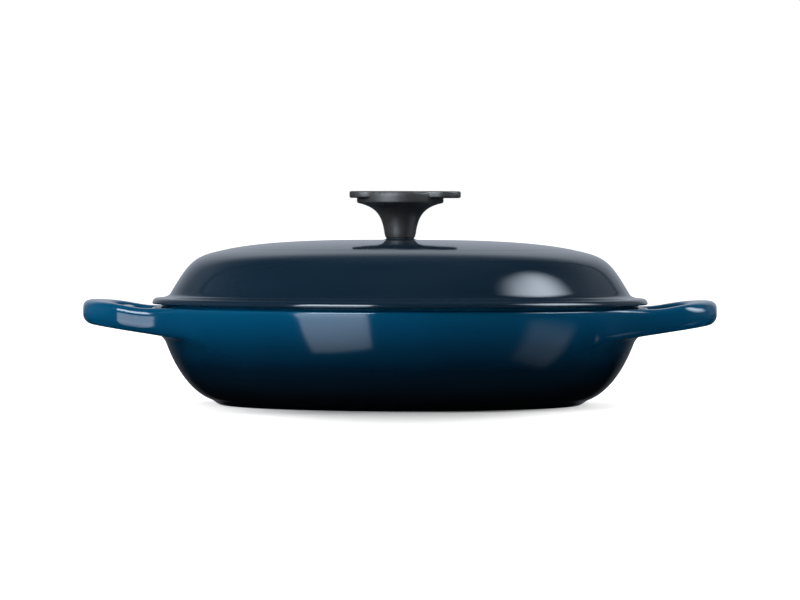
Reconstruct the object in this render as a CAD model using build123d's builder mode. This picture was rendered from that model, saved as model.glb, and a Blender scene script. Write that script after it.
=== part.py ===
from build123d import *
import os

os.makedirs("parts", exist_ok=True)

# A shallow cast-iron braiser with a domed lid, in millimetres.
# It stands on z = 0, its axis is Z and its two loop handles lie along X.

# Sizes of the whole
overall_length = 340.0
overall_height = 114.8
seat_height_share = 0.4704
crown_height_share = 0.7726
overrun = 8.0

# Pan: outside
rim_radius_share = 0.7712
rim_edge = 3.0
shoulder_drop = 2.0
foot_inset = 34.6
foot_flare = 4.5
foot_height = 2.8
foot_ring_width = 13.0
foot_ring_slope = 3.0
foot_recess_depth = 0.8
wall_curve_shares = ((0.44, 0.09), (0.82, 0.48))

# Pan: inside, and the bare seat that carries the lid
base_thickness = 4.4
floor_inset = 3.0
seat_inset = 2.8
seat_width = 4.0
seat_edge = 0.6
cavity_top_drop = 3.5
cavity_curve_shares = ((0.39, 0.0), (1.02, 0.43))

# Handles
handle_end_bow_share = 1.8307
handle_end_bow_angle = 7.2
handle_corner = 23.0
handle_corner_angle = 73.0
handle_root_shares = (0.8085, 0.4844)
handle_flank_shares = ((0.32, 0.12), (0.66, 0.34))
handle_rise = 5.3
handle_bottom_drop = 7.6
handle_bottom_root_drop = 17.2
handle_rise_inset = 4.1
handle_tip_flat = 9.0
handle_rise_shares = ((0.40, 0.0), (0.62, 1.0))
handle_bottom_edge = 4.4
handle_root_fillet = 8.0
handle_bar_width = 13.9
handle_web = 2.6
loop_root_corner = 8.0
loop_edge = 3.2

# Lid: outside
lid_overhang = 2.0
flange_thickness = 3.7
flange_fall = 0.4
panel_inset = 41.6
panel_fall = 4.6
panel_step_width = 2.5
panel_step_height = 0.8
skirt_inset = 9.3
skirt_rise = 6.0
skirt_fillet_reach = 3.0
panel_curve_shares = ((0.44, 0.0), (0.72, 0.27))
shoulder_curve_shares = ((0.65, 0.12), (0.735, 0.506))

# Lid: inside, locating ring and stabiliser nubs
lid_thickness = 3.2
inner_dome_inset = 3.5
inner_dome_fall = 4.7
locating_clearance = 1.4
locating_width = 3.1
locating_depth = 4.0
locating_edge = 0.8
nub_count = 3
nub_radius = 3.0
nub_clearance = 0.6
inner_dome_shares = ((0.45, 0.0), (0.72, 0.30))
inner_shoulder_shares = ((0.70, 0.11), (0.74, 0.41))

# Boss in the middle of the lid, above and below
boss_radius = 8.0
boss_height = 0.7
boss_flare = 2.6
boss_flare_angle = 75.0
under_boss_radius = 11.0
under_boss_depth = 0.6

# Knob fixing
gasket_thickness = 0.5
gasket_radius = 7.5
screw_radius = 3.0
screw_clearance = 0.35
thread_clearance = 0.05
insert_radius = 4.5
insert_waist_depth = 0.6
insert_length = 13.0
insert_waist_shares = (0.40, 0.60)
screw_engagement = 11.0
screw_end_chamfer = 0.6
washer_radius = 8.0
washer_thickness = 1.2
screw_head_radius = 5.6
screw_head_height = 3.4
screw_head_edge = 1.6
recess_length = 6.0
recess_width = 1.3
recess_depth = 2.0
recess_taper = 8.0

# Knob
knob_foot_radius = 8.0
disc_radius = 23.3
disc_thickness = 4.5
disc_under_edge = 1.1
disc_top_edge = 0.8
disc_top_drop = 0.8
trumpet_shares = ((0.085, 0.528), (0.213, 0.887))
plate_thickness = 3.6
plate_edge = 0.9
plate_core_radius = 20.5
lobe_angle = 20.0
right_lobe_distance = 23.2
right_lobe_radius = 10.7
left_lobe_distance = 17.4
left_lobe_radius = 10.9
notch_fillet = 2.0
bead_width = 2.0
bead_height = 0.6
button_radius = 6.5
bead_edge = 0.3

# Heights and places that follow from the sizes above
handle_tip_x = overall_length / 2
rim_radius = handle_tip_x * rim_radius_share
foot_radius = rim_radius - foot_inset
floor_radius = foot_radius - floor_inset
seat_outer_radius = rim_radius - seat_inset
seat_inner_radius = seat_outer_radius - seat_width
seat_height = overall_height * seat_height_share
shoulder_height = seat_height - shoulder_drop
crown_height = overall_height * crown_height_share
lid_radius = rim_radius + lid_overhang
panel_radius = lid_radius - panel_inset
skirt_radius = lid_radius - skirt_inset
inner_dome_radius = panel_radius - inner_dome_inset
handle_end_bow = rim_radius * handle_end_bow_share
handle_root_x, handle_root_half_width = [rim_radius * share for share in handle_root_shares]
handle_top_z = shoulder_height + handle_rise
handle_bottom_z = shoulder_height - handle_bottom_drop
handle_bottom_root_z = shoulder_height - handle_bottom_root_drop
handle_rise_start_x = rim_radius - handle_rise_inset
handle_rise_end_x = handle_tip_x - handle_tip_flat
handle_bottom_slope = (handle_bottom_z - handle_bottom_root_z) / (handle_tip_x - handle_root_x)
loop_web_radius = rim_radius + handle_web
lid_underside = crown_height - lid_thickness
under_boss_face = lid_underside - under_boss_depth
washer_face = under_boss_face - washer_thickness
boss_top = crown_height + boss_height
knob_foot = boss_top + gasket_thickness
disc_top = overall_height - disc_top_drop
disc_bottom = disc_top - disc_thickness
plate_bottom = overall_height - plate_thickness
screw_hole_radius = screw_radius + screw_clearance
thread_radius = screw_radius + thread_clearance
ring_radius = seat_inner_radius - locating_clearance
inner_skirt_radius = ring_radius - locating_width
flange_top = seat_height + flange_thickness
lobe_pairs = ((0, right_lobe_distance, right_lobe_radius), (180, left_lobe_distance, left_lobe_radius))


def shaped_curve(start, end, shares):
    """A Bezier curve whose two handles lie at shares of the way across and up from start to end."""
    handles = [
        (start[0] + across * (end[0] - start[0]), start[1] + up * (end[1] - start[1]))
        for across, up in shares
    ]
    return Bezier(start, *handles, end)


def handle_outline(inset):
    """The handle in plan, drawn in by inset: a bowed end, round corners and flanks that flare."""
    bow = JernArc((handle_tip_x - inset, 0), (0, 1), handle_end_bow - inset, handle_end_bow_angle)
    corner = JernArc(bow @ 1, bow % 1, handle_corner - inset, handle_corner_angle)
    flank_end = (handle_root_x, handle_root_half_width - inset)
    shaped_curve(tuple(corner @ 1), flank_end, handle_flank_shares)
    Line(flank_end, (handle_root_x, 0))
    mirror(about=Plane.XZ)


def lobed_outline(inset):
    """The knob's plate in plan, drawn in by inset: a round core with a pair of lobes at each end."""
    Circle(plate_core_radius - inset)
    for middle_angle, distance, radius in lobe_pairs:
        with PolarLocations(distance, 2, middle_angle - lobe_angle, 2 * lobe_angle, endpoint=True):
            Circle(radius - inset)
    fillet(vertices(), radius=notch_fillet)


# Handle: a slab that rises outwards, with rounded edges and a loop hole
with BuildPart() as handle:
    with BuildSketch():
        with BuildLine():
            handle_outline(0)
        make_face()
    extrude(amount=overall_height)
    with BuildSketch(Plane.XZ.offset(-overall_length / 2)):
        with BuildLine():
            rise_start = (handle_rise_start_x, shoulder_height)
            rise_end = (handle_rise_end_x, handle_top_z)
            top_end = (handle_tip_x + overrun, handle_top_z)
            bottom_end = (handle_tip_x + overrun, handle_bottom_z + overrun * handle_bottom_slope)
            bottom_root = (handle_root_x, handle_bottom_root_z)
            top_root = (handle_root_x, shoulder_height)
            shaped_curve(rise_start, rise_end, handle_rise_shares)
            Polyline(rise_end, top_end, bottom_end, bottom_root, top_root, rise_start)
        make_face()
    extrude(amount=overall_length, mode=Mode.INTERSECT)
    lower_face = faces().sort_by(Axis.Z)[0]
    fillet(lower_face.edges().filter_by(Axis.Y, reverse=True), radius=handle_bottom_edge)
    with BuildSketch():
        with BuildLine():
            handle_outline(handle_bar_width)
        make_face()
        Circle(loop_web_radius, mode=Mode.SUBTRACT)
        fillet(vertices().group_by(Axis.X)[0], radius=loop_root_corner)
    extrude(amount=overall_height, mode=Mode.SUBTRACT)
    fillet(edges(Select.LAST).filter_by(GeomType.LINE, reverse=True), radius=loop_edge)

# Pan: the shell and its handles are one casting
with BuildPart() as pan_body:
    with BuildSketch(Plane.XZ):
        with BuildLine():
            recess_edge = (foot_radius - foot_ring_width - foot_ring_slope, foot_recess_depth)
            ring_edge = (foot_radius - foot_ring_width, 0)
            wall_start = (foot_radius + foot_flare, foot_height)
            shoulder = (rim_radius, shoulder_height)
            Polyline((0, foot_recess_depth), recess_edge, ring_edge, (foot_radius, 0), wall_start)
            shaped_curve(wall_start, shoulder, wall_curve_shares)
            Polyline(shoulder, (0, shoulder_height), (0, foot_recess_depth))
        make_face()
    revolve(axis=Axis.Z)
    for side in (handle.part, handle.part.mirror(Plane.YZ)):
        add(side)
        root_edges = edges(Select.NEW).filter_by(lambda edge: edge.center().Z < shoulder_height - rim_edge)
        fillet(root_edges, radius=handle_root_fillet)
    # The edge of the rim runs on round both handles as one smooth chain
    fillet(edges().filter_by(GeomType.CIRCLE).sort_by(lambda edge: edge.radius)[-1], radius=rim_edge)
    with BuildSketch(Plane.XZ):
        with BuildLine():
            seat_side = (seat_outer_radius, seat_height - seat_edge)
            seat_corner = (seat_outer_radius - seat_edge, seat_height)
            seat_foot = (seat_outer_radius, shoulder_height - rim_edge)
            RadiusArc(seat_side, seat_corner, -seat_edge)
            Polyline(seat_corner, (0, seat_height), (0, shoulder_height - rim_edge), seat_foot, seat_side)
        make_face()
    revolve(axis=Axis.Z)
    with BuildSketch(Plane.XZ):
        with BuildLine():
            floor_end = (floor_radius, base_thickness)
            cavity_top = (seat_inner_radius, seat_height - cavity_top_drop)
            lip_foot = (seat_inner_radius, seat_height - seat_edge)
            lip_top = (seat_inner_radius + seat_edge, seat_height)
            mouth = (seat_inner_radius + seat_edge, seat_height + overrun)
            shaped_curve(floor_end, cavity_top, cavity_curve_shares)
            Line(cavity_top, lip_foot)
            RadiusArc(lip_foot, lip_top, -seat_edge)
            Polyline(lip_top, mouth, (0, seat_height + overrun), (0, base_thickness), floor_end)
        make_face()
    revolve(axis=Axis.Z, mode=Mode.SUBTRACT)

# Lid: a dome with a raised panel, a flange, a locating ring and a boss, one casting
with BuildPart() as lid:
    with BuildSketch(Plane.XZ):
        with BuildLine():
            crown = (0, crown_height)
            panel_edge = (panel_radius, crown_height - panel_fall)
            step_foot = (panel_radius + panel_step_width, crown_height - panel_fall - panel_step_height)
            skirt_end = (skirt_radius, seat_height + skirt_rise)
            flange_start = (skirt_radius + skirt_fillet_reach, flange_top + flange_fall)
            flange_bend = (lid_radius - flange_thickness / 2, flange_top)
            flange_tip = (lid_radius, seat_height + flange_thickness / 2)
            flange_under = (lid_radius - flange_thickness / 2, seat_height)
            shaped_curve(crown, panel_edge, panel_curve_shares)
            Line(panel_edge, step_foot)
            dome_shoulder = shaped_curve(step_foot, skirt_end, shoulder_curve_shares)
            TangentArc(skirt_end, flange_start, tangent=dome_shoulder % 1)
            Line(flange_start, flange_bend)
            ThreePointArc(flange_bend, flange_tip, flange_under)
            ring_bottom = seat_height - locating_depth
            inner_skirt = (inner_skirt_radius, seat_height + skirt_rise)
            inner_shoulder = (inner_dome_radius, lid_underside - inner_dome_fall)
            Polyline(
                flange_under,
                (ring_radius, seat_height),
                (ring_radius, ring_bottom + locating_edge),
                (ring_radius - locating_edge, ring_bottom),
                (inner_skirt_radius + locating_edge, ring_bottom),
                (inner_skirt_radius, ring_bottom + locating_edge),
                inner_skirt,
            )
            shaped_curve(inner_shoulder, inner_skirt, inner_shoulder_shares)
            shaped_curve((0, lid_underside), inner_shoulder, inner_dome_shares)
            Line((0, lid_underside), crown)
        make_face()
    revolve(axis=Axis.Z)
    with BuildSketch(Plane.XZ):
        with BuildLine():
            under_rim = (under_boss_radius, under_boss_face)
            under_foot = (under_boss_radius + under_boss_depth, lid_underside)
            flare = JernArc((boss_radius, boss_top), (0, -1), boss_flare, boss_flare_angle)
            Polyline(flare @ 1, under_foot, under_rim, (0, under_boss_face), (0, boss_top), flare @ 0)
        make_face()
    revolve(axis=Axis.Z)
    with BuildSketch(Plane.XY.offset(ring_bottom + locating_edge)):
        with PolarLocations(seat_inner_radius - nub_clearance - nub_radius, nub_count):
            Circle(nub_radius)
    extrude(amount=locating_depth - locating_edge)
    Hole(screw_hole_radius)

# Gasket: a thin ring that keeps the knob's foot off the enamel
with BuildPart() as knob_gasket:
    with BuildSketch(Plane.XY.offset(boss_top)):
        Circle(gasket_radius)
        Circle(screw_hole_radius, mode=Mode.SUBTRACT)
    extrude(amount=gasket_thickness)

# Knob insert: a threaded bush with a waist that keys it into the moulded stem
with BuildPart() as knob_insert:
    with BuildSketch(Plane.XZ) as insert_outline:
        with BuildLine():
            waist_low, waist_high = [knob_foot + insert_length * share for share in insert_waist_shares]
            Polyline(
                (thread_radius, knob_foot),
                (insert_radius, knob_foot),
                (insert_radius, waist_low - insert_waist_depth),
                (insert_radius - insert_waist_depth, waist_low),
                (insert_radius - insert_waist_depth, waist_high),
                (insert_radius, waist_high + insert_waist_depth),
                (insert_radius, knob_foot + insert_length),
                (thread_radius, knob_foot + insert_length),
                close=True,
            )
        make_face()
    revolve(axis=Axis.Z)

# Knob plate: four lobes, the right pair larger, with a raised bead and a button
with BuildPart() as plate:
    with BuildSketch(Plane.XY.offset(plate_bottom)):
        lobed_outline(0)
    extrude(amount=plate_thickness)
    fillet(edges().filter_by(Axis.Z, reverse=True), radius=plate_edge)
    with BuildSketch(Plane.XY.offset(overall_height)):
        lobed_outline(bead_width)
        Circle(button_radius, mode=Mode.SUBTRACT)
    extrude(amount=-bead_height, mode=Mode.SUBTRACT)
    fillet(faces().sort_by(Axis.Z)[-1].edges(), radius=bead_edge)

# Knob: a trumpet stem that opens into a disc, moulded in one with the plate
with BuildPart() as knob:
    with BuildSketch(Plane.XZ):
        with BuildLine():
            foot = (knob_foot_radius, knob_foot)
            disc_lip = (disc_radius - disc_under_edge, disc_bottom)
            disc_low = (disc_radius, disc_bottom + disc_under_edge)
            disc_high = (disc_radius, disc_top - disc_top_edge)
            disc_rim = (disc_radius - disc_top_edge, disc_top)
            shaped_curve(foot, disc_lip, trumpet_shares)
            RadiusArc(disc_lip, disc_low, -disc_under_edge)
            Line(disc_low, disc_high)
            RadiusArc(disc_high, disc_rim, -disc_top_edge)
            Polyline(disc_rim, (0, disc_top), (0, knob_foot), foot)
        make_face()
    revolve(axis=Axis.Z)
    add(plate.part)
    with BuildSketch(Plane.XZ):
        add(insert_outline.sketch_local)
        with Locations((0, knob_foot)):
            Rectangle(insert_radius - insert_waist_depth, insert_length, align=(Align.MIN, Align.MIN))
    revolve(axis=Axis.Z, mode=Mode.SUBTRACT)

# Washer: flat, between the screw's head and the underside of the lid
with BuildPart() as screw_washer:
    with BuildSketch(Plane.XY.offset(washer_face)):
        Circle(washer_radius)
        Circle(screw_hole_radius, mode=Mode.SUBTRACT)
    extrude(amount=washer_thickness)

# Screw: a pan-head machine screw with a cross recess, driven up from below
with BuildPart() as knob_screw:
    with BuildSketch(Plane.XZ):
        with BuildLine():
            head_bottom = washer_face - screw_head_height
            screw_end = knob_foot + screw_engagement
            head_low = (screw_head_radius - screw_head_edge, head_bottom)
            head_side = (screw_head_radius, head_bottom + screw_head_edge)
            RadiusArc(head_low, head_side, -screw_head_edge)
            Polyline(
                head_side,
                (screw_head_radius, washer_face),
                (screw_radius, washer_face),
                (screw_radius, screw_end - screw_end_chamfer),
                (screw_radius - screw_end_chamfer, screw_end),
                (0, screw_end),
                (0, head_bottom),
                head_low,
            )
        make_face()
    revolve(axis=Axis.Z)
    with BuildSketch(Plane.XY.offset(head_bottom)):
        Rectangle(recess_length, recess_width)
        Rectangle(recess_width, recess_length)
    extrude(amount=recess_depth, taper=recess_taper, mode=Mode.SUBTRACT)

# Each piece goes to its own file
pieces = {
    "pan_body": pan_body,
    "lid": lid,
    "knob": knob,
    "knob_insert": knob_insert,
    "knob_gasket": knob_gasket,
    "screw_washer": screw_washer,
    "knob_screw": knob_screw,
}
for name, piece in pieces.items():
    piece.part.label = name
    export_step(piece.part, f"parts/{name}.step")
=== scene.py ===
import math

import bpy
import numpy as np
from mathutils import Matrix, Vector


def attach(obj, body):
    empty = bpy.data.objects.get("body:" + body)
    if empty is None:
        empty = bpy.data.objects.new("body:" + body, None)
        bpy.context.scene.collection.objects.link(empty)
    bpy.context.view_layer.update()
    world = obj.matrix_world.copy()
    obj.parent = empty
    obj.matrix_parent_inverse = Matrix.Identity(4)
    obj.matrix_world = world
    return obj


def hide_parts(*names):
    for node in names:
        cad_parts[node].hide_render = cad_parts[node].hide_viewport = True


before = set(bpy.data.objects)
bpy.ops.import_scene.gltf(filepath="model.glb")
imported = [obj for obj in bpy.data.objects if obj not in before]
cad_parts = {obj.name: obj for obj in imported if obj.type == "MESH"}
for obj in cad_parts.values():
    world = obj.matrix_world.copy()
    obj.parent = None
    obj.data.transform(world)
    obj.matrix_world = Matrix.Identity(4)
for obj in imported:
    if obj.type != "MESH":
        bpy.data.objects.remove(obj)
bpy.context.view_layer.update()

# The pan's shell. The real pan is one sand casting in grey iron, fired with glossy blue enamel
# outside, pale enamel inside and matt black enamel on the seat that carries the lid. It is turned
# here from its half section, and its handles are set on afterwards.

MM = 0.001
PAN_STEPS = 540
WELD = 0.002
PAN_FOOT = (
    (0.0, 0.8), (30.0, 0.8), (60.0, 0.8), (79.0, 0.8), (80.5, 0.74), (82.2, 0.28), (83.2, 0.06),
    (84.0, 0.0), (88.0, 0.0), (92.0, 0.0), (95.4, 0.0), (96.6, 0.12), (97.7, 0.55), (99.4, 1.66),
)
WALL_OUTSIDE = ((101.0, 2.8), (114.35, 7.11), (125.69, 25.79), (130.55, 50.5))
WALL_POINTS = 56
WALL_INSIDE = ((124.3, 50.5), (125.12, 24.18), (105.47, 4.4), (93.65, 4.4))
INSIDE_POINTS = 34
RIM_EDGE = 1.5
SHOULDER = 52.5
SEAT_IN = 124.3
SEAT_OUT = 128.3
SEAT_TOP = 54.0
SEAT_EDGE = 0.6
FLOOR_TOP = 4.4
PAN_FLOOR = ((93.65, FLOOR_TOP), (80.0, FLOOR_TOP), (50.0, FLOOR_TOP), (20.0, FLOOR_TOP), (0.0, FLOOR_TOP))


def curved(corners, count):
    """Points along the Bezier curve of four corners, the last one left out."""
    share = np.linspace(0.0, 1.0, count, endpoint=False)[:, None]
    a, b, c, d = np.array(corners, float)
    rest = 1.0 - share
    points = rest**3 * a + 3 * rest**2 * share * b + 3 * rest * share**2 * c + share**3 * d
    return [tuple(point) for point in points]


def arc(centre, radius, start, end, count):
    """Points along an arc from one angle to another, in degrees, both ends in."""
    return [
        (centre[0] + radius * math.cos(angle), centre[1] + radius * math.sin(angle))
        for angle in np.radians(np.linspace(start, end, count))
    ]


def in_edit_mode(piece, *steps):
    """Takes one piece through edit mode: each step is an operator and its settings, run on all of it."""
    bpy.ops.object.select_all(action="DESELECT")
    piece.select_set(True)
    bpy.context.view_layer.objects.active = piece
    bpy.ops.object.mode_set(mode="EDIT")
    for operator, settings in steps:
        bpy.ops.mesh.select_all(action="SELECT")
        operator(**settings)
    bpy.ops.object.mode_set(mode="OBJECT")


def turned(name, section, steps, closed=False):
    """Turns a half section, (radius, height) in millimetres, round Z. An open one ends on the axis."""
    bpy.ops.object.select_all(action="DESELECT")
    bpy.ops.mesh.primitive_circle_add(vertices=len(section), radius=MM)
    piece = bpy.context.object
    piece.name = piece.data.name = name
    for vertex, (radius, height) in zip(piece.data.vertices, section):
        vertex.co = Vector((radius, 0, height)) * MM
    if not closed:
        bpy.ops.object.mode_set(mode="EDIT")
        bpy.ops.mesh.select_mode(type="EDGE")
        bpy.ops.mesh.select_all(action="DESELECT")
        bpy.ops.object.mode_set(mode="OBJECT")
        for edge in piece.data.edges:
            edge.select = set(edge.vertices) == {0, len(section) - 1}
        bpy.ops.object.mode_set(mode="EDIT")
        bpy.ops.mesh.delete(type="EDGE")
        bpy.ops.object.mode_set(mode="OBJECT")
    lathe = piece.modifiers.new("lathe", "SCREW")
    lathe.steps = lathe.render_steps = steps
    bpy.ops.object.modifier_apply(modifier=lathe.name)
    in_edit_mode(
        piece,
        (bpy.ops.mesh.remove_doubles, {"threshold": WELD * MM}),
        (bpy.ops.mesh.normals_make_consistent, {"inside": False}),
    )
    bpy.ops.object.shade_smooth()
    return piece


rim_edge = (WALL_OUTSIDE[3][0] - RIM_EDGE, SHOULDER - RIM_EDGE)
seat_out = (SEAT_OUT - SEAT_EDGE, SEAT_TOP - SEAT_EDGE)
seat_in = (SEAT_IN + SEAT_EDGE, SEAT_TOP - SEAT_EDGE)
pan_section = [
    *PAN_FOOT,
    *curved(WALL_OUTSIDE, WALL_POINTS),
    *arc(rim_edge, RIM_EDGE, 0, 90, 7),
    (SEAT_OUT, SHOULDER),
    *arc(seat_out, SEAT_EDGE, 0, 90, 4),
    ((SEAT_IN + SEAT_OUT) / 2, SEAT_TOP),
    *arc(seat_in, SEAT_EDGE, 90, 180, 4),
    *curved(WALL_INSIDE, INSIDE_POINTS),
    *PAN_FLOOR,
]
pan_shell = turned("pan_shell", pan_section, PAN_STEPS)


def linear(code):
    """An sRGB hex colour as the linear RGBA that a shader takes."""
    parts = [int(code[at:at + 2], 16) / 255 for at in (1, 3, 5)]
    return (*[c / 12.92 if c <= 0.04045 else ((c + 0.055) / 1.055) ** 2.4 for c in parts], 1.0)


def spaced(size):
    """The scale of a noise whose marks are that many millimetres across."""
    return 1 / (size * MM)


def add_node(finish, kind, inputs=None, **settings):
    """Adds a node with its settings. inputs gives each socket a value, or an output to join to it."""
    node = finish.node_tree.nodes.new("ShaderNode" + kind)
    for name, value in settings.items():
        setattr(node, name, value)
    for socket, value in (inputs or {}).items():
        if isinstance(value, bpy.types.NodeSocket):
            finish.node_tree.links.new(value, node.inputs[socket])
        else:
            node.inputs[socket].default_value = value
    return node


def new_finish(name):
    """An empty material."""
    finish = bpy.data.materials.new(name)
    finish.use_nodes = True
    finish.node_tree.nodes.clear()
    return finish


def colour_steps(ramp, steps):
    """Sets a colour ramp's stops, (place, hex colour)."""
    elements = ramp.color_ramp.elements
    while len(elements) < len(steps):
        elements.new(0.5)
    for element, (place, code) in zip(elements, steps):
        element.position = place
        element.color = linear(code)


# The colour drifts in patches as wide as a pass of the spray gun. The glass has an orange peel of
# nearly 4 mm, and pinholes drawn at 0.7 mm, coarser than the real ones, so that they show.
ENAMEL_IOR = 1.52
ENAMEL_ROUGH = (0.07, 0.12)
SPRAY_PATCH = 26.316
SPRAY_SHARE = 0.06
RIPPLE = 3.846
RIPPLE_DEPTH = 0.012
PORE = 0.7143
PORE_SHARE = 0.12


def glazed(name, steps, low, high, peel):
    """Glossy vitreous enamel on iron: glass, so a clear hard shine with a faint orange peel. Its colour
    goes by height, from low to high, along the steps it is given."""
    finish = new_finish(name)
    place = add_node(finish, "TexCoord").outputs["Object"]
    axes = add_node(finish, "SeparateXYZ", {0: place})
    drift = add_node(finish, "TexNoise", {"Vector": place, "Scale": spaced(SPRAY_PATCH), "Detail": 3.0})
    height = add_node(
        finish, "MapRange", {"Value": axes.outputs["Z"], "From Min": low * MM, "From Max": high * MM}
    )
    spray = add_node(
        finish, "Math",
        {0: drift.outputs["Fac"], 1: SPRAY_SHARE, 2: height.outputs[0]}, operation="MULTIPLY_ADD",
    )
    shade = add_node(finish, "ValToRGB", {"Fac": spray.outputs[0]})
    colour_steps(shade, steps)
    ripple = add_node(finish, "TexNoise", {"Vector": place, "Scale": spaced(RIPPLE), "Detail": 2.0})
    pores = add_node(finish, "TexNoise", {"Vector": place, "Scale": spaced(PORE), "Detail": 1.0})
    skin = add_node(
        finish, "Math",
        {0: pores.outputs["Fac"], 1: PORE_SHARE, 2: ripple.outputs["Fac"]}, operation="MULTIPLY_ADD",
    )
    bump = add_node(
        finish, "Bump", {"Height": skin.outputs[0], "Strength": peel, "Distance": RIPPLE_DEPTH * MM}
    )
    polish = add_node(
        finish, "MapRange",
        {"Value": ripple.outputs["Fac"], "To Min": ENAMEL_ROUGH[0], "To Max": ENAMEL_ROUGH[1]},
    )
    shader = add_node(
        finish, "BsdfPrincipled",
        {"Base Color": shade.outputs["Color"], "Roughness": polish.outputs[0], "IOR": ENAMEL_IOR,
         "Normal": bump.outputs["Normal"]},
    )
    add_node(finish, "OutputMaterial", {"Surface": shader.outputs["BSDF"]})
    return finish


# Blotches are this many times as wide as the grain
BLOTCH = 14
ROUGH_DRIFT = 0.06


def speckled(name, dark, light, grain, rough, strength, depth, shine=0.5):
    """A surface with a fine grain, sized in millimetres, and wide faint blotches of two near tones."""
    finish = new_finish(name)
    place = add_node(finish, "TexCoord").outputs["Object"]
    speck = add_node(
        finish, "TexNoise", {"Vector": place, "Scale": spaced(grain), "Detail": 4.0, "Roughness": 0.6}
    )
    drift = add_node(finish, "TexNoise", {"Vector": place, "Scale": spaced(grain * BLOTCH), "Detail": 2.0})
    shade = add_node(finish, "ValToRGB", {"Fac": drift.outputs["Fac"]})
    colour_steps(shade, ((0.35, dark), (0.65, light)))
    bump = add_node(
        finish, "Bump", {"Height": speck.outputs["Fac"], "Strength": strength, "Distance": depth * MM}
    )
    polish = add_node(
        finish, "MapRange",
        {"Value": speck.outputs["Fac"], "To Min": rough - ROUGH_DRIFT, "To Max": rough + ROUGH_DRIFT},
    )
    shader = add_node(
        finish, "BsdfPrincipled",
        {"Base Color": shade.outputs["Color"], "Roughness": polish.outputs[0], "Specular IOR Level": shine,
         "Normal": bump.outputs["Normal"]},
    )
    add_node(finish, "OutputMaterial", {"Surface": shader.outputs["BSDF"]})
    return finish


def dressed(piece, finishes, choose=None):
    """Gives a piece its finishes. choose says from a face's radius and height which one it takes."""
    piece.data.materials.clear()
    for finish in finishes:
        piece.data.materials.append(finish)
    for face in piece.data.polygons:
        radius, height = math.hypot(face.center.x, face.center.y) / MM, face.center.z / MM
        face.material_index = choose(radius, height) if choose else 0


# Glossy blue glass, lightest at the rim and almost black at the foot. The darkening low down is partly the
# enamel's own sprayed shading and partly painted shade, where the wall faces down over the foot
TEAL_AND_SHADE_STEPS = (
    (0.05, "#03060B"), (0.2, "#08131C"), (0.4, "#031B2D"), (0.6, "#02324D"), (0.8, "#02466B"),
    (0.97, "#02557C"),
)
teal_enamel = glazed("vitreous_enamel_teal", TEAL_AND_SHADE_STEPS, 0.0, 58.0, 0.5)

# Glossy pale glass inside, warm and even, a little lighter upwards
SAND_STEPS = ((0.0, "#D8CDB4"), (0.5, "#DDD3BC"), (1.0, "#E0D7C2"))
sand_enamel = glazed("vitreous_enamel_sand", SAND_STEPS, 0.0, 90.0, 0.4)

# Thin matt enamel over the iron of the seat: dull, with the casting's sandy grain showing through,
# drawn at 1.1 mm, coarser than it is, so that it shows
IRON_GRAIN = 1.1111
black_enamel = speckled("matt_enamel_black", "#0B0C0E", "#121417", IRON_GRAIN, 0.42, 0.3, 0.03)

TEAL, SAND, BLACK = 0, 1, 2
BLACK_BAND = 0.1
SAND_SKIN = 0.4
FLOOR_SKIN = 0.2
inside_line = np.array(curved(WALL_INSIDE, 40)[::-1])


def pan_finish(radius, height):
    """Teal outside, sand inside, black on top of the seat."""
    if height > SEAT_TOP - BLACK_BAND:
        return BLACK
    inner = np.interp(height, inside_line[:, 1], inside_line[:, 0]) + SAND_SKIN
    return SAND if height > FLOOR_TOP - FLOOR_SKIN and radius < inner else TEAL


dressed(pan_shell, (teal_enamel, sand_enamel, black_enamel), pan_finish)

# The handles. Two loop handles are cast in one with the pan, in the same iron and under the same
# enamel. Each is a slab that rises outwards, pierced for the fingers, and flows into the wall and
# the rim without a seam.

TIP_X = 170.0
END_BOW = 240.0
END_BOW_ANGLE = 6.0
BOW_POINTS = 9
CORNER = 32.0
CORNER_ANGLE = 75.0
CORNER_POINTS = 17
FLANK_ROOT = (103.0, 73.0)
FLANK_SHARES = ((0.167, 0.052), (0.512, 0.289))
FLANK_POINTS = 24
BAR_WIDTH = 13.9
LOOP_WEB = 133.7
LOOP_ROOT_CORNER = 8.0
HANDLE_RISE = ((132.0, 52.4), (143.0, 52.2), (149.0, 55.7), (166.0, 56.3))
UNDERSIDE_TIP = 44.4
UNDERSIDE_SLOPE = 0.15
END_EDGE = 3.6
CORNER_EDGE = 6.2
FLANK_EDGE = 3.4
UNDER_EDGE = 4.4
LOOP_EDGE = 3.2
ROOT_FILLET = 4.5
# These turn a distance along the radius or the height into one square to the wall or the underside
WALL_LEAN = 0.98
UNDERSIDE_LEAN = 0.99
# The top edge gets rounder over these runs: out from the wall, round the corner, towards the tip
EDGE_RUN = 14.0
CORNER_FROM, CORNER_RUN = 14.0, 22.0
TIP_FROM, TIP_RUN = 149.0, 10.0
# The handle's mesh tucks under the rim's top, and each mesh sinks under the other in the fillet
TUCK, TUCK_FROM, TUCK_RUN = 0.2, 1.7, 0.8
SINK_SHELL = 0.006
SINK_HANDLE = 0.036
BLEND_SHIFT = 2.0

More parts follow.
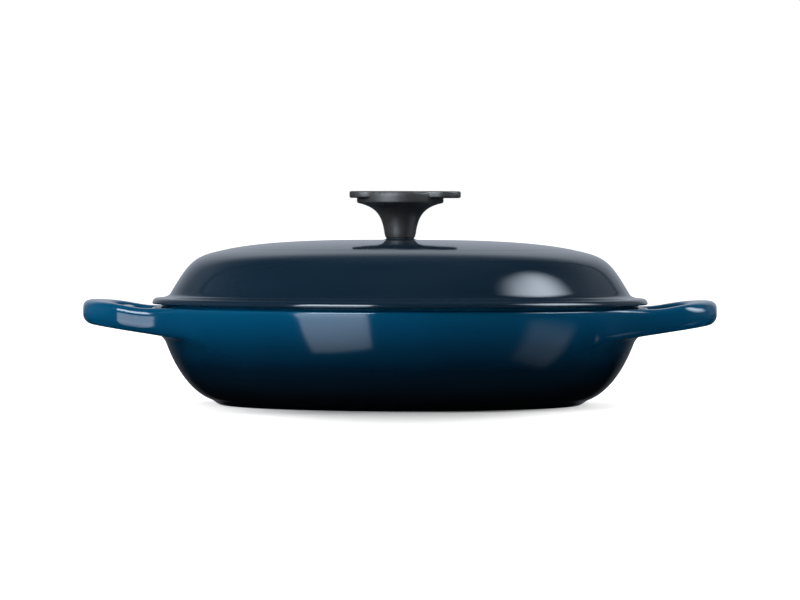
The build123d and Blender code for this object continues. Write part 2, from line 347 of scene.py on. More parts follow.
bow_centre = TIP_X - END_BOW
bow = arc((bow_centre, 0), END_BOW, 0, END_BOW_ANGLE, BOW_POINTS)
turn = math.radians(END_BOW_ANGLE)
corner_centre = (bow[-1][0] - CORNER * math.cos(turn), bow[-1][1] - CORNER * math.sin(turn))
corner = arc(corner_centre, CORNER, END_BOW_ANGLE, END_BOW_ANGLE + CORNER_ANGLE, CORNER_POINTS)
flank_way = np.array(FLANK_ROOT) - corner[-1]
flank_corners = [corner[-1], *[corner[-1] + flank_way * share for share in FLANK_SHARES], FLANK_ROOT]
flank = curved(flank_corners, FLANK_POINTS) + [FLANK_ROOT]
half_outline = np.array(bow[:-1] + corner[:-1] + flank)
rise_line = np.array(curved(HANDLE_RISE, 40) + [HANDLE_RISE[3]])
wall_top = [WALL_OUTSIDE[3], (WALL_OUTSIDE[3][0], SHOULDER + 20)]
wall_line = np.array(curved(WALL_OUTSIDE, WALL_POINTS) + wall_top)


def eased(share):
    """A share from 0 to 1 that starts and ends gently."""
    share = np.clip(share, 0, 1)
    return share * share * (3 - 2 * share)


def to_outline(x, y):
    """Distance in plan to the handle's outline, below nought inside it."""
    point = np.stack((x, np.abs(y)), axis=1)[:, None, :]
    start, end = half_outline[:-1], half_outline[1:]
    along = end - start
    share = np.clip(((point - start) * along).sum(2) / (along**2).sum(1), 0, 1)
    nearest = start + share[..., None] * along
    distance = np.sqrt(((point - nearest) ** 2).sum(2)).min(1)
    width = np.interp(x, half_outline[::-1, 0], half_outline[::-1, 1], right=-1.0)
    return np.where(np.abs(y) < width, -distance, distance)


def both(a, b, edge):
    """What lies inside both forms, with the edge between them rounded."""
    inside = np.minimum(np.maximum(a, b), -edge)
    return inside + np.hypot(np.maximum(edge + a, 0), np.maximum(edge + b, 0))


def either(a, b, fillet):
    """What lies inside either form, with the corner between them filleted."""
    outside = np.maximum(np.minimum(a, b), fillet)
    return outside - np.hypot(np.maximum(fillet - a, 0), np.maximum(fillet - b, 0))


def iron(points, of_shell):
    """Distance to the casting's outer face, in millimetres, as the shell's mesh or a handle's follows
    it: past the middle of the fillet each mesh dips under the other."""
    x, y, z = np.abs(points[:, 0]), points[:, 1], points[:, 2]
    radius = np.hypot(x, y)
    wall = (radius - np.interp(z, wall_line[:, 1], wall_line[:, 0])) * WALL_LEAN
    outline = to_outline(x, y)
    underside = (UNDERSIDE_TIP - (TIP_X - x) * UNDERSIDE_SLOPE - z) * UNDERSIDE_LEAN
    slab = both(outline, underside, UNDER_EDGE)
    loop = both(outline + BAR_WIDTH, LOOP_WEB - radius, LOOP_ROOT_CORNER)
    joined = both(either(wall, slab, ROOT_FILLET), -loop, LOOP_EDGE)
    tip_edge = END_EDGE + (CORNER_EDGE - END_EDGE) * eased((np.abs(y) - CORNER_FROM) / CORNER_RUN)
    full_edge = FLANK_EDGE + (tip_edge - FLANK_EDGE) * eased((x - TIP_FROM) / TIP_RUN)
    top_edge = RIM_EDGE + (full_edge - RIM_EDGE) * eased(wall / EDGE_RUN)
    top = z - np.interp(x, rise_line[:, 0], rise_line[:, 1])
    past_middle = wall - slab + BLEND_SHIFT
    if of_shell:
        sink = SINK_SHELL * np.maximum(0, past_middle) ** 2
    else:
        top = top + TUCK * np.clip((-TUCK_FROM - wall) / TUCK_RUN, 0, 1)
        sink = SINK_HANDLE * np.maximum(0, -past_middle) ** 2
    return both(joined, top, top_edge) + sink, wall, slab


SETTLING = 8
SLOPE_STEP = 0.01
LEAST_SLOPE = 0.2
LONGEST_MOVE = 2.0


def settled(points, of_shell, keep):
    """Moves points onto the casting's outer face. keep is the share of each that stays put."""
    place = points.copy()
    for _ in range(SETTLING):
        value = iron(place, of_shell)[0]
        slope = np.stack(
            [(iron(place + SLOPE_STEP * axis, of_shell)[0] - value) / SLOPE_STEP for axis in np.eye(3)],
            axis=1,
        )
        move = slope * (value / np.maximum((slope**2).sum(1), LEAST_SLOPE))[:, None]
        length = np.sqrt((move**2).sum(1))
        place -= move * np.minimum(1, LONGEST_MOVE / np.maximum(length, 1e-9))[:, None]
    return place + (points - place) * keep[:, None]


def read_points(piece):
    """A piece's vertices in millimetres."""
    flat = np.zeros(len(piece.data.vertices) * 3)
    piece.data.vertices.foreach_get("co", flat)
    return flat.reshape(-1, 3) / MM


def write_points(piece, points):
    """Puts a piece's vertices where points say, in millimetres."""
    piece.data.vertices.foreach_set("co", (points * MM).ravel())
    piece.data.update()


# The shell's wall and rim swell towards each handle, and fade back to round a little way off
SWELL_FROM_X = 95
SWELL_INNER = 1.9
SWELL_BOTTOM = 12
SWELL_TOP = SHOULDER + 0.05
SWELL_REACH = 12.5
FADE_FROM = 6

shell_points = read_points(pan_shell)
_, wall, slab = iron(shell_points, True)
near = (np.abs(shell_points[:, 0]) > SWELL_FROM_X) & (wall > -SWELL_INNER) & (slab < SWELL_REACH)
near &= (shell_points[:, 2] > SWELL_BOTTOM) & (shell_points[:, 2] < SWELL_TOP)
fade = eased(np.maximum(-FADE_FROM - slab[near], slab[near] - FADE_FROM) / FADE_FROM)
shell_points[near] = settled(shell_points[near], True, fade)
write_points(pan_shell, shell_points)

# A handle's cage runs between two outlines in plan, point for point: the loop's, with its root
# corners softened, and the slab's, which skirts the wall and closes inside it
STATIONS = (6, 8, 9, 9)
ACROSS = (0.0, 0.07, 0.24, 0.5, 0.76, 0.93)
DOWN = (0.0, 0.1, 0.38, 0.75)
SIDE_POINTS = 30
ROOT_POINTS = 60
SOFTENING = 200
ROOT_INSIDE = 124.9
SKIRT = 131.2
SKIRT_END = 39.0
CAGE_DROP = 0.3
CAGE_DROP_INSIDE = 129.2
BURIED_FROM, BURIED_RUN = 2.2, 1.2


def evenly(line, count):
    """Points evenly spaced along a line, the last one left out."""
    line = np.array(line)
    run = np.concatenate(([0], np.cumsum(np.hypot(*np.diff(line, axis=0).T))))
    at = np.linspace(0, run[-1], count, endpoint=False)
    return np.stack([np.interp(at, run, line[:, axis]) for axis in (0, 1)], axis=1)


def half_loop(inset, root_radius, softening):
    """Half of an outline: the bow, the corner, the flank as far as the root circle, and that circle."""
    end = arc((bow_centre, 0), END_BOW - inset, 0, END_BOW_ANGLE, BOW_POINTS)
    turned_end = arc(
        corner_centre, CORNER - inset, END_BOW_ANGLE, END_BOW_ANGLE + CORNER_ANGLE, CORNER_POINTS
    )
    side = np.array(flank)
    way = np.gradient(side, axis=0)
    side = side - inset * np.stack((way[:, 1], -way[:, 0]), axis=1) / np.hypot(*way.T)[:, None]
    side = side[np.hypot(*side.T) > root_radius]
    angle = math.degrees(math.atan2(side[-1, 1], side[-1, 0]))
    if not softening:
        side = side * np.maximum(1, SKIRT / np.hypot(*side.T))[:, None]
        side = np.concatenate((side, arc((0, 0), SKIRT, angle, SKIRT_END, 5)[1:]))
        angle = SKIRT_END
    root = arc((0, 0), root_radius, angle, 0, 20)
    way_in = np.concatenate((evenly(side, SIDE_POINTS), evenly(root, ROOT_POINTS), [[root_radius, 0.0]]))
    for _ in range(softening):
        way_in[1:-1] = (way_in[:-2] + 2 * way_in[1:-1] + way_in[2:]) / 4
    lines = (end, turned_end, way_in[:SIDE_POINTS + 1], way_in[SIDE_POINTS:])
    parts = [evenly(line, count) for line, count in zip(lines, STATIONS)]
    return np.concatenate(parts + [[(root_radius, 0.0)]])


def whole_loop(half):
    """An outline from its half."""
    return np.concatenate((half, half[-2:0:-1] * (1, -1)))


loop_plan = whole_loop(half_loop(BAR_WIDTH, LOOP_WEB, SOFTENING))
slab_plan = whole_loop(half_loop(0.0, ROOT_INSIDE, 0))
section_round = (
    [(share, 1.0) for share in ACROSS]
    + [(1.0, 1 - share) for share in DOWN]
    + [(1 - share, 0.0) for share in ACROSS]
    + [(0.0, 0.0)] + [(0.0, 1 - share) for share in DOWN[:0:-1]]
)
bpy.ops.object.select_all(action="DESELECT")
bpy.ops.mesh.primitive_torus_add(
    major_segments=len(slab_plan), minor_segments=len(section_round), major_radius=0.04, minor_radius=0.01
)
handle_right = bpy.context.object
handle_right.name = handle_right.data.name = "handle_right"
places = []
for inner, outer in zip(loop_plan, slab_plan):
    for across, up in section_round:
        x, y = inner + (outer - inner) * across
        top = np.interp(x, rise_line[:, 0], rise_line[:, 1])
        top -= CAGE_DROP * (math.hypot(x, y) < CAGE_DROP_INSIDE)
        bottom = UNDERSIDE_TIP - (TIP_X - x) * UNDERSIDE_SLOPE
        places.append((x, y, bottom + (top - bottom) * up))
write_points(handle_right, np.array(places))
rounding = handle_right.modifiers.new("rounding", "SUBSURF")
rounding.levels = rounding.render_levels = 2
bpy.ops.object.modifier_apply(modifier=rounding.name)
handle_points = read_points(handle_right)
_, wall, slab = iron(handle_points, False)
buried = np.clip((np.minimum(-wall, -slab) - BURIED_FROM) / BURIED_RUN, 0, 1)
write_points(handle_right, settled(handle_points, False, buried))
in_edit_mode(handle_right, (bpy.ops.mesh.normals_make_consistent, {"inside": False}))
bpy.ops.object.shade_smooth()

# The left handle is the same casting the other way round
bpy.ops.object.duplicate()
handle_left = bpy.context.object
handle_left.name = handle_left.data.name = "handle_left"
write_points(handle_left, read_points(handle_left) * (-1, 1, 1))
in_edit_mode(handle_left, (bpy.ops.mesh.normals_make_consistent, {"inside": False}))
for piece in (handle_right, handle_left):
    dressed(piece, (teal_enamel,))
for piece in (pan_shell, handle_right, handle_left):
    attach(piece, "pan")
    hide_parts("pan_body")

# The lid. It is a second iron casting, navy outside and pale inside: a domed panel with a soft step
# round it, a rolled flange that lies loose on the pan's seat, and under it a locating ring with three
# lugs that keep it centred.

LID_STEPS = 300
SCREW_HOLE = 3.35
BOSS_TOP = 89.4
BOSS_FLAT = 6.2
BOSS_SHOULDER = (7.6, 89.0)
BOSS_FILLET = ((8.25, 89.1), (8.75, 88.86), (9.5, 88.74))
LID_PANEL = ((10.6, 88.7), (50.0, 88.75), (74.0, 87.2), (91.2, 83.9))
PANEL_STEP = ((91.9, 83.8), (92.5, 83.66), (93.1, 83.5), (93.7, 83.35))
LID_SHOULDER = ((94.4, 83.2), (110.5, 79.82), (113.0, 77.5), (123.3, 60.0))
FLANGE_FILLET = (
    (123.62, 59.5), (124.05, 59.02), (124.7, 58.58), (125.6, 58.22), (126.8, 57.8), (128.4, 57.55),
)
FLANGE_TOP_EDGE = ((130.5, 54.8), 2.6)
FLANGE_UNDER_EDGE = ((132.4, 54.8), 0.7)
FLANGE_FACE = ((129.0, SEAT_TOP), (126.3, SEAT_TOP), (123.6, SEAT_TOP))
LOCATING_OUT = 122.9
LOCATING_IN = 119.8
LOCATING_FOOT = 50.0
LOCATING_EDGE = 0.8
LOCATING_TOP = 60.0
INNER_SHOULDER = ((119.8, 60.0), (111.6, 72.2), (109.8, 78.5), (88.0, 80.7))
INNER_PANEL = ((88.0, 80.7), (63.4, 84.1), (39.6, 85.5), (11.6, 85.5))
WASHER_SEAT = ((11.4, 85.46), (11.0, 85.1), (10.8, 84.92), (10.4, 84.9), (7.0, 84.9))
LUG_COUNT = 3
LUG_REACH = 123.7
LUG_RADIUS = 3.0
LUG_HEIGHT = 3.2
LUG_MIDDLE = 52.4
LUG_EDGE = 0.7

ring_out = (LOCATING_OUT - LOCATING_EDGE, LOCATING_FOOT + LOCATING_EDGE)
ring_in = (LOCATING_IN + LOCATING_EDGE, LOCATING_FOOT + LOCATING_EDGE)
lid_section = [
    (SCREW_HOLE, BOSS_TOP - 0.3), (SCREW_HOLE + 0.3, BOSS_TOP), (BOSS_FLAT, BOSS_TOP),
    *arc(BOSS_SHOULDER, 0.4, 90, 20, 4),
    *BOSS_FILLET,
    *curved(LID_PANEL, 44),
    *PANEL_STEP,
    *curved(LID_SHOULDER, 56),
    *FLANGE_FILLET,
    *arc(*FLANGE_TOP_EDGE, 82, 5, 11),
    *arc(*FLANGE_UNDER_EDGE, 0, -90, 7),
    *FLANGE_FACE,
    (LOCATING_OUT + 0.2, 53.9), (LOCATING_OUT, 53.6),
    *arc(ring_out, LOCATING_EDGE, 0, -90, 4),
    *arc(ring_in, LOCATING_EDGE, -90, -180, 4),
    (LOCATING_IN, 54.0), (LOCATING_IN, 57.0),
    *curved(INNER_SHOULDER, 44),
    *curved(INNER_PANEL, 24),
    *WASHER_SEAT,
    (SCREW_HOLE + 0.2, 84.9), (SCREW_HOLE, 85.1),
]
lid_shell = turned("lid_shell", lid_section, LID_STEPS, closed=True)
lugs = []
for lug_number in range(LUG_COUNT):
    angle = 2 * math.pi * lug_number / LUG_COUNT
    reach = (LUG_REACH - LUG_RADIUS) * MM
    bpy.ops.object.select_all(action="DESELECT")
    bpy.ops.mesh.primitive_cylinder_add(
        vertices=40, radius=LUG_RADIUS * MM, depth=LUG_HEIGHT * MM,
        location=(reach * math.cos(angle), reach * math.sin(angle), LUG_MIDDLE * MM),
    )
    lug = bpy.context.object
    softened = lug.modifiers.new("softened", "BEVEL")
    softened.width, softened.segments, softened.limit_method = LUG_EDGE * MM, 4, "ANGLE"
    bpy.ops.object.modifier_apply(modifier=softened.name)
    bpy.ops.object.transform_apply(location=True, rotation=True, scale=True)
    bpy.ops.object.shade_smooth()
    lugs.append(lug)
bpy.ops.object.select_all(action="DESELECT")
for piece in [*lugs, lid_shell]:
    piece.select_set(True)
bpy.context.view_layer.objects.active = lid_shell
bpy.ops.object.join()

NAVY, LINING = 0, 1
RING_SKIN = (0.1, 0.2)
FACE_BAND = 0.05
UNDER_SKIN = 1.5
under_line = np.array(curved(INNER_SHOULDER, 40) + curved(INNER_PANEL, 20))[::-1]


def lid_finish(radius, height):
    """Navy outside, sand under the dome, black on the locating ring and under the flange."""
    if radius > LOCATING_IN - RING_SKIN[0]:
        ring_inside = radius < LOCATING_IN + RING_SKIN[1] and height < LOCATING_TOP
        return BLACK if height < SEAT_TOP + FACE_BAND or ring_inside else NAVY
    under = height < np.interp(radius, under_line[:, 0], under_line[:, 1]) + UNDER_SKIN
    return LINING if under else NAVY


# Glossy deep blue glass, one even coat, so that the lid reads darker than the pan
NAVY_STEPS = ((0.0, "#152A3B"), (0.35, "#142A3C"), (0.75, "#13293A"), (1.0, "#13293B"))
navy_enamel = glazed("vitreous_enamel_navy", NAVY_STEPS, 54.0, 90.0, 0.5)
dressed(lid_shell, (navy_enamel, sand_enamel, black_enamel), lid_finish)
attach(lid_shell, "lid")
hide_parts("lid")

# The knob. It is moulded in one from black phenolic and screwed down through the lid: a trumpet
# stem with a bore for its bush, a thin disc, and a lobed plate with a raised bead and a plain button.

KNOB_STEPS = 180
KNOB_FOOT = 89.9
FOOT_FLAT = 5.8
FOOT_EDGE = ((7.5, 90.35), 0.45)
TRUMPET = ((8.15, 89.9), (9.3, 99.6), (11.05, 105.8), (22.2, 108.3))
DISC_RADIUS = 23.3
DISC_UNDER_EDGE = ((22.2, 109.4), 1.1)
DISC_SIDE_TOP = 112.0
DISC_TOP = 114.0
DISC_EDGE = 0.8
BORE = 4.5
BORE_TOP = 102.9
BUSH_WAIST = ((BORE, 102.89), (BORE, 98.3), (3.9, 97.7), (3.9, 95.1), (BORE, 94.5))
PLATE_BOTTOM = 111.2
PLATE_TOP = 114.8
PLATE_CORE = 20.5
PLATE_LOBES = ((23.2, 10.7, 20.0), (23.2, 10.7, -20.0), (17.4, 10.9, 160.0), (17.4, 10.9, 200.0))
PLATE_EDGE = 0.9
PLATE_FLOOR = 114.2
BEAD = (
    (1.3, 114.8), (1.7, 114.8), (1.9, 114.73), (2.02, 114.58), (2.08, 114.4), (2.2, 114.24), (2.45, 114.2),
)
BUTTON = (
    (6.9, 114.2), (6.68, 114.26), (6.55, 114.4), (6.5, 114.6), (6.4, 114.73), (6.15, 114.8), (3.0, 114.8),
)
NOTCH_FILL = 0.03
NOTCH_ROUNDS = 300
PLATE_COUNT = 360

knob_section = [
    (BORE, KNOB_FOOT), (FOOT_FLAT, KNOB_FOOT),
    *arc(*FOOT_EDGE, -90, -5, 5),
    *curved(TRUMPET, 40)[3:],
    *arc(*DISC_UNDER_EDGE, -90, 0, 6),
    (DISC_RADIUS, DISC_SIDE_TOP),
    *arc((DISC_RADIUS - DISC_EDGE, DISC_TOP - DISC_EDGE), DISC_EDGE, 0, 90, 5),
    (18.0, DISC_TOP), (9.0, DISC_TOP), (0.0, DISC_TOP), (0.0, BORE_TOP), (3.9, BORE_TOP),
    *BUSH_WAIST,
]


def lobed(inset):
    """The plate's outline drawn in by inset: the furthest of the core and its lobes, notches filled."""
    angles = np.linspace(0, 2 * math.pi, PLATE_COUNT, endpoint=False)
    reach = np.full(PLATE_COUNT, PLATE_CORE - inset)
    for distance, radius, degrees in PLATE_LOBES:
        off = angles - math.radians(degrees)
        inside = (radius - inset) ** 2 - (distance * np.sin(off)) ** 2
        far = distance * np.cos(off) + np.sqrt(np.maximum(inside, 0))
        reach = np.where((inside > 0) & (np.cos(off) > 0), np.maximum(reach, far), reach)
    for _ in range(NOTCH_ROUNDS):
        reach = np.maximum(reach, 0.5 * (np.roll(reach, 1) + np.roll(reach, -1)) - NOTCH_FILL)
    return np.stack((reach * np.cos(angles), reach * np.sin(angles)), axis=1)


def ringed(name, rings):
    """Shapes a sphere ring by ring, from its lower pole up. rings are (outline, height)."""
    count = len(rings[0][0])
    bpy.ops.object.select_all(action="DESELECT")
    bpy.ops.mesh.primitive_uv_sphere_add(segments=count, ring_count=len(rings) + 1, radius=1.0)
    piece = bpy.context.object
    piece.name = piece.data.name = name
    outlines = np.array([outline for outline, _ in rings])
    heights = [height for _, height in rings]
    points = read_points(piece) * MM
    up = 1 - np.arccos(np.clip(points[:, 2], -1, 1)) / math.pi
    level = np.rint(up * (len(rings) + 1)).astype(int)
    around = np.arctan2(points[:, 1], points[:, 0]) / (2 * math.pi)
    around = np.rint(around * count).astype(int) % count
    places = np.zeros_like(points)
    for index, (ring, spoke) in enumerate(zip(level, around)):
        inner = min(max(ring, 1), len(rings)) - 1
        xy = outlines[inner, spoke] if inner == ring - 1 else (0.0, 0.0)
        places[index] = (*xy, heights[inner])
    write_points(piece, places)
    bpy.ops.object.shade_smooth()
    return piece


knob_body = turned("knob_body", knob_section, KNOB_STEPS, closed=True)
spokes = np.linspace(0, 2 * math.pi, PLATE_COUNT, endpoint=False)
round_one = np.stack((np.cos(spokes), np.sin(spokes)), axis=1)
plate_levels = [
    *[(PLATE_EDGE * (1 + math.sin(a)), PLATE_BOTTOM + PLATE_EDGE * (1 - math.cos(a)))
      for a in np.radians((0, -22, -45, -68, -90))],
    *[(PLATE_EDGE * (1 - math.cos(a)), PLATE_TOP - PLATE_EDGE * (1 - math.sin(a)))
      for a in np.radians((0, 18, 36, 54, 72, 90))],
    *BEAD,
]
recess = lobed(BEAD[-1][0])
knob_plate = ringed(
    "knob_plate",
    [(round_one * 10.0, PLATE_BOTTOM)]
    + [(lobed(inset), height) for inset, height in plate_levels]
    + [(recess + (round_one * BUTTON[0][0] - recess) * share, PLATE_FLOOR) for share in (0.25, 0.5, 0.75)]
    + [(round_one * radius, height) for radius, height in BUTTON],
)
bpy.ops.object.select_all(action="DESELECT")
knob_plate.select_set(True)
knob_body.select_set(True)
bpy.context.view_layer.objects.active = knob_body
bpy.ops.object.join()

# Moulded phenolic, tumbled satin: charcoal, with a broad soft shine and a fine grain, drawn at
# 0.6 mm, coarser than it is, so that it shows
SATIN_GRAIN = 0.625
phenolic = speckled("satin_phenolic_black", "#333231", "#393837", SATIN_GRAIN, 0.48, 0.25, 0.03, 1.0)
dressed(knob_body, (phenolic,))
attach(knob_body, "lid")
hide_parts("knob")

# The knob's fixing. Under the lid a stainless pan-head screw and washer pull up a brass bush that is
# moulded into the stem, and a thin rubber gasket keeps the knob's foot off the enamel. All four are
# the CAD's own solids in new finishes.

# Real tool lines are about 0.1 mm apart. These are drawn at 0.35 mm, so that they show.
TOOL_LINE = 0.349
TOOL_DEPTH = 0.02
TOOL_SHARE = 0.25
STAIN = 4.545
STAIN_ROUGH = (-0.06, 0.08)


def metal(name, dark, light, rough):
    """Turned or rolled metal with fine concentric tool lines. A wave repeats every tenth of pi."""
    finish = new_finish(name)
    place = add_node(finish, "TexCoord").outputs["Object"]
    lines = add_node(
        finish, "TexWave",
        {"Vector": place, "Scale": spaced(TOOL_LINE) * math.pi / 10, "Distortion": 0.6, "Detail": 1.0},
        wave_type="RINGS", rings_direction="Z",
    )
    stain = add_node(finish, "TexNoise", {"Vector": place, "Scale": spaced(STAIN), "Detail": 3.0})
    shade = add_node(finish, "ValToRGB", {"Fac": stain.outputs["Fac"]})
    colour_steps(shade, ((0.3, dark), (0.7, light)))
    bump = add_node(
        finish, "Bump",
        {"Height": lines.outputs["Fac"], "Strength": TOOL_SHARE, "Distance": TOOL_DEPTH * MM},
    )
    polish = add_node(
        finish, "MapRange",
        {"Value": stain.outputs["Fac"], "To Min": rough + STAIN_ROUGH[0], "To Max": rough + STAIN_ROUGH[1]},
    )
    shader = add_node(
        finish, "BsdfPrincipled",
        {"Base Color": shade.outputs["Color"], "Metallic": 1.0, "Roughness": polish.outputs[0],
         "Normal": bump.outputs["Normal"]},
    )
    add_node(finish, "OutputMaterial", {"Surface": shader.outputs["BSDF"]})
    return finish


# Moulded rubber: near black and dull, with the mould's slight grain, drawn at 1.1 mm so that it shows
RUBBER_GRAIN = 1.1111
gasket_rubber = speckled("gasket_rubber", "#101010", "#161616", RUBBER_GRAIN, 0.7, 0.4, 0.03)

# Brass as it leaves the lathe: warm yellow, with rings of tool lines and a little tarnish
turned_brass = metal("turned_brass", "#B98E3E", "#D2A955", 0.28)

# Stainless steel, cold-headed and polished: grey, with a clean bright shine
stainless = metal("stainless_steel", "#A9AAAA", "#C2C3C3", 0.26)

for node, finish in (
    ("knob_gasket", gasket_rubber),
    ("knob_insert", turned_brass),
    ("screw_washer", stainless),
    ("knob_screw", stainless),
):
    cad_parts[node].data.materials.clear()
    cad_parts[node].data.materials.append(finish)

# The studio. A white sheet lies under soft lamps. The glaze mirrors a pale sweep behind and above, two
# bright panels, and the same panels dimmed by a dark polished table: the sheet is kept out of its shine.

SHEET_SIZE = 60
SHEET_FIBRE = 1.1111
SHADE_SHAPE = (3.4, 1.0, 0.0)
SHADE_FROM, SHADE_TO = 0.14, 0.48
MIDDLE = 0.05
PANEL_AWAY = 4.0
LAMP_AWAY = 1.9
DAYLIGHT = "#DEEAF7"

bpy.ops.object.select_all(action="DESELECT")
bpy.ops.mesh.primitive_plane_add(size=SHEET_SIZE)
floor = bpy.context.object
floor.name = "floor"
floor.visible_glossy = False

# Matt white paper: a faint fibre, drawn at 1.1 mm so that it shows. To the camera alone it glows, as painted
# light: not at all close round the pan and full white further off, over an ellipse that is narrow at the
# sides. So the pan's own shadow shows only in front of it, and is wiped out at its sides
paper = new_finish("white_paper")
paper_place = add_node(paper, "TexCoord").outputs["Object"]
fibre = add_node(paper, "TexNoise", {"Vector": paper_place, "Scale": spaced(SHEET_FIBRE)})
paper_bump = add_node(paper, "Bump", {"Height": fibre.outputs["Fac"], "Strength": 0.1, "Distance": 0.02 * MM})
off = add_node(paper, "VectorMath", {0: paper_place, 1: SHADE_SHAPE}, operation="MULTIPLY")
off = add_node(paper, "VectorMath", {0: off.outputs[0]}, operation="LENGTH").outputs["Value"]
clear = add_node(
    paper, "MapRange", {"Value": off, "From Min": SHADE_FROM, "From Max": SHADE_TO},
    interpolation_type="SMOOTHSTEP",
)
camera_ray = add_node(paper, "LightPath").outputs["Is Camera Ray"]
lift = add_node(paper, "Math", {0: camera_ray, 1: clear.outputs[0]}, operation="MULTIPLY")
sheet = add_node(
    paper, "BsdfPrincipled",
    {"Base Color": linear("#E4E4E4"), "Roughness": 0.9, "Specular IOR Level": 0.0,
     "Emission Color": linear("#FFFFFF"), "Emission Strength": lift.outputs[0],
     "Normal": paper_bump.outputs["Normal"]},
)
add_node(paper, "OutputMaterial", {"Surface": sheet.outputs["BSDF"]})
floor.data.materials.append(paper)


def upright(name, azimuth, spread, lowest, highest, low, high, soft):
    """A lit panel that only glossy surfaces mirror. It stands upright at an azimuth from the front,
    between two elevations, low in strength at its bottom edge and high at its top, with soft edges."""
    way = math.radians(azimuth)
    bottom, top = (PANEL_AWAY * math.tan(math.radians(angle)) for angle in (lowest, highest))
    place = (PANEL_AWAY * math.sin(way), -PANEL_AWAY * math.cos(way), MIDDLE + (bottom + top) / 2)
    bpy.ops.object.select_all(action="DESELECT")
    bpy.ops.mesh.primitive_plane_add(size=1.0, location=place, rotation=(math.pi / 2, 0, way + math.pi))
    panel = bpy.context.object
    panel.name = name
    panel.scale = (2 * PANEL_AWAY * math.tan(math.radians(spread)), top - bottom, 1.0)
    panel.visible_camera = panel.visible_diffuse = panel.visible_shadow = panel.visible_transmission = False
    cloth = new_finish(name)
    across = add_node(cloth, "SeparateXYZ", {0: add_node(cloth, "TexCoord").outputs["Object"]}).outputs
    strength = add_node(
        cloth, "MapRange",
        {"Value": across["Y"], "From Min": -0.5, "From Max": 0.5, "To Min": low, "To Max": high},
    ).outputs[0]
    for axis in ("X", "Y"):
        off = add_node(cloth, "Math", {0: across[axis]}, operation="ABSOLUTE")
        edge = add_node(
            cloth, "MapRange",
            {"Value": off.outputs[0], "From Min": 0.5 - soft, "From Max": 0.5, "To Min": 1.0, "To Max": 0.0},
            interpolation_type="SMOOTHSTEP",
        )
        strength = add_node(cloth, "Math", {0: strength, 1: edge.outputs[0]}, operation="MULTIPLY").outputs[0]
    glow = add_node(cloth, "Emission", {"Color": linear(DAYLIGHT), "Strength": strength})
    add_node(cloth, "OutputMaterial", {"Surface": glow.outputs[0]})
    panel.data.materials.append(cloth)


upright(
    "panel_left", azimuth=-31.5, spread=19.0, lowest=12.0, highest=42.0, low=14.0, high=16.0, soft=0.06
)
upright(
    "panel_left_in_table", azimuth=-32.5, spread=17.8, lowest=-42.3, highest=0.6, low=1.0, high=5.8, soft=0.03
)
upright(
    "panel_right", azimuth=88.0, spread=27.0, lowest=6.0, highest=56.0, low=14.0, high=7.0, soft=0.4
)
upright(
    "panel_right_in_table",
    azimuth=80.5, spread=18.5, lowest=-45.0, highest=-17.0, low=0.05, high=0.85, soft=0.25,
)


def soft_lamp(name, azimuth, elevation, size, watts):
    """A soft lamp aimed at the pan. It lights it, and the glaze doesn't mirror it."""
    way, up = math.radians(azimuth), math.radians(elevation)
    off = Vector((math.sin(way) * math.cos(up), -math.cos(way) * math.cos(up), math.sin(up)))
    bpy.ops.object.light_add(type="AREA", location=off * LAMP_AWAY + Vector((0, 0, MIDDLE)))
    lamp = bpy.context.object
    lamp.name = lamp.data.name = name
    lamp.rotation_euler = off.to_track_quat("Z", "Y").to_euler()
    lamp.data.size, lamp.data.energy = size, watts
    lamp.visible_glossy = False


soft_lamp("lamp_left", azimuth=-60.0, elevation=24.0, size=0.9, watts=23.5)
soft_lamp("lamp_right", azimuth=92.0, elevation=38.0, size=0.9, watts=12.0)
soft_lamp("lamp_back", azimuth=180.0, elevation=52.0, size=1.4, watts=15.0)

# The room is white to the camera and an even grey light to all but the glaze, which mirrors a sweep
# that is palest low down at the back, dims to the front and the left, and has one seam
SWEEP_TONES = (
    (0.0, "#050607"), (0.36, "#090A0B"), (0.42, "#505257"), (0.49, "#63666B"), (0.5, "#A5ACB8"),
    (0.725, "#C3CBD6"), (0.8, "#8B929C"), (0.86, "#5F656E"), (0.96, "#545A63"), (1.0, "#454A52"),
)
SWEEP_SIDES = (
    (0.0, "#303030"), (0.15, "#303030"), (0.5, "#A3A3A3"), (0.925, "#AAAAAA"), (0.955, "#D8D8D8"),
    (0.98, "#FAFAFA"), (1.0, "#FFFFFF"),
)
ROOM_LIGHT = (0.23, 0.23, 0.23, 1.0)
WHITE = (1.0, 1.0, 1.0, 1.0)
OVERHEAD = (0.8, 0.95)
LEFT_FADE = (-0.9, -0.1)
LEFT_SHARE = 0.62
SEAM_WAY = (-0.148, 0.989, 0.0)
SEAM_AT = 0.783
SEAM_EDGE = (0.008, 0.022)
SEAM_SHARE = 0.35
SEAM_END = (0.84, 0.9)

room = bpy.data.worlds.new("studio")
bpy.context.scene.world = room
room.use_nodes = True
room.node_tree.nodes.clear()
way = add_node(room, "TexCoord").outputs["Generated"]
height = add_node(room, "SeparateXYZ", {0: way}).outputs["Z"]
flat = add_node(room, "VectorMath", {0: way, 1: (1.0, 1.0, 0.0)}, operation="MULTIPLY")
flat = add_node(room, "VectorMath", {0: flat.outputs[0]}, operation="NORMALIZE").outputs[0]
flat_axes = add_node(room, "SeparateXYZ", {0: flat}).outputs
rising = add_node(room, "MapRange", {"Value": height, "From Min": -1.0, "From Max": 1.0})
tones = add_node(room, "ValToRGB", {"Fac": rising.outputs[0]})
colour_steps(tones, SWEEP_TONES)
backward = add_node(room, "MapRange", {"Value": flat_axes["Y"], "From Min": -1.0, "From Max": 1.0})
sides = add_node(room, "ValToRGB", {"Fac": backward.outputs[0]})
colour_steps(sides, SWEEP_SIDES)
overhead = add_node(
    room, "MapRange", {"Value": height, "From Min": OVERHEAD[0], "From Max": OVERHEAD[1]},
    interpolation_type="SMOOTHSTEP",
)
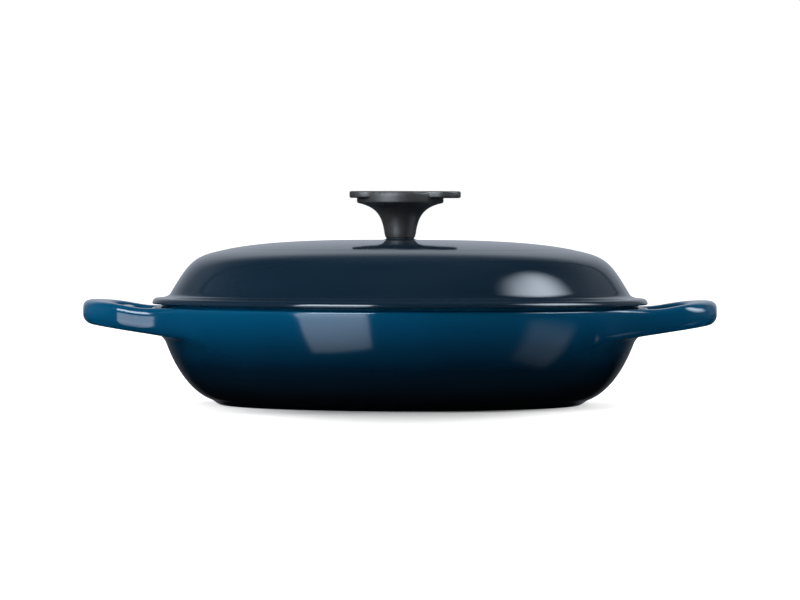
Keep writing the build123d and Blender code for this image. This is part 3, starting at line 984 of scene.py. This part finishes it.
open_sides = add_node(
    room, "Mix", {0: overhead.outputs[0], 6: sides.outputs[0], 7: WHITE}, data_type="RGBA"
)
rightward = add_node(
    room, "MapRange",
    {"Value": flat_axes["X"], "From Min": LEFT_FADE[0], "From Max": LEFT_FADE[1], "To Min": LEFT_SHARE},
)
behind = add_node(room, "VectorMath", {0: flat, 1: SEAM_WAY}, operation="DOT_PRODUCT").outputs["Value"]
from_seam = add_node(room, "Math", {0: behind, 1: -SEAM_AT}, operation="ADD")
from_seam = add_node(room, "Math", {0: from_seam.outputs[0]}, operation="ABSOLUTE")
seam = add_node(
    room, "MapRange",
    {"Value": from_seam.outputs[0], "From Min": SEAM_EDGE[0], "From Max": SEAM_EDGE[1],
     "To Min": SEAM_SHARE},
)
below_top = add_node(
    room, "MapRange", {"Value": height, "From Min": SEAM_END[0], "From Max": SEAM_END[1]}
)
seam = add_node(room, "Mix", {0: below_top.outputs[0], 2: seam.outputs[0], 3: 1.0}, data_type="FLOAT")
mirrored = add_node(room, "VectorMath", {0: tones.outputs[0], 1: open_sides.outputs[2]}, operation="MULTIPLY")
for share in (seam, rightward):
    mirrored = add_node(
        room, "VectorMath", {0: mirrored.outputs[0], "Scale": share.outputs[0]}, operation="SCALE"
    )
light_path = add_node(room, "LightPath").outputs
seen = add_node(
    room, "Mix", {0: light_path["Is Glossy Ray"], 6: ROOM_LIGHT, 7: mirrored.outputs[0]}, data_type="RGBA"
)
seen = add_node(
    room, "Mix", {0: light_path["Is Camera Ray"], 6: seen.outputs[2], 7: WHITE}, data_type="RGBA"
)
sky = add_node(room, "Background", {"Color": seen.outputs[2], "Strength": 1.0})
add_node(room, "OutputWorld", {"Surface": sky.outputs["Background"]})

# The camera looks from the front, hardly above the lid, with a long lens and a slight roll
CAMERA_PLACE = (0.0, -2.63, 0.098)
CAMERA_AIM = (0.0, 0.0, 0.0563)
LENS = 220.0
SENSOR = 36.0
FAR = 100.0
ROLL = 0.13

bpy.ops.object.camera_add(location=CAMERA_PLACE)
camera = bpy.context.object
camera.name = "camera"
camera.data.lens = LENS
camera.data.sensor_width = SENSOR
camera.data.clip_end = FAR
look = (Vector(CAMERA_AIM) - Vector(CAMERA_PLACE)).to_track_quat("-Z", "Y").to_matrix()
camera.rotation_euler = (look @ Matrix.Rotation(math.radians(ROLL), 3, "Z")).to_euler()
bpy.context.scene.camera = camera
bpy.context.scene.view_settings.view_transform = "Standard"
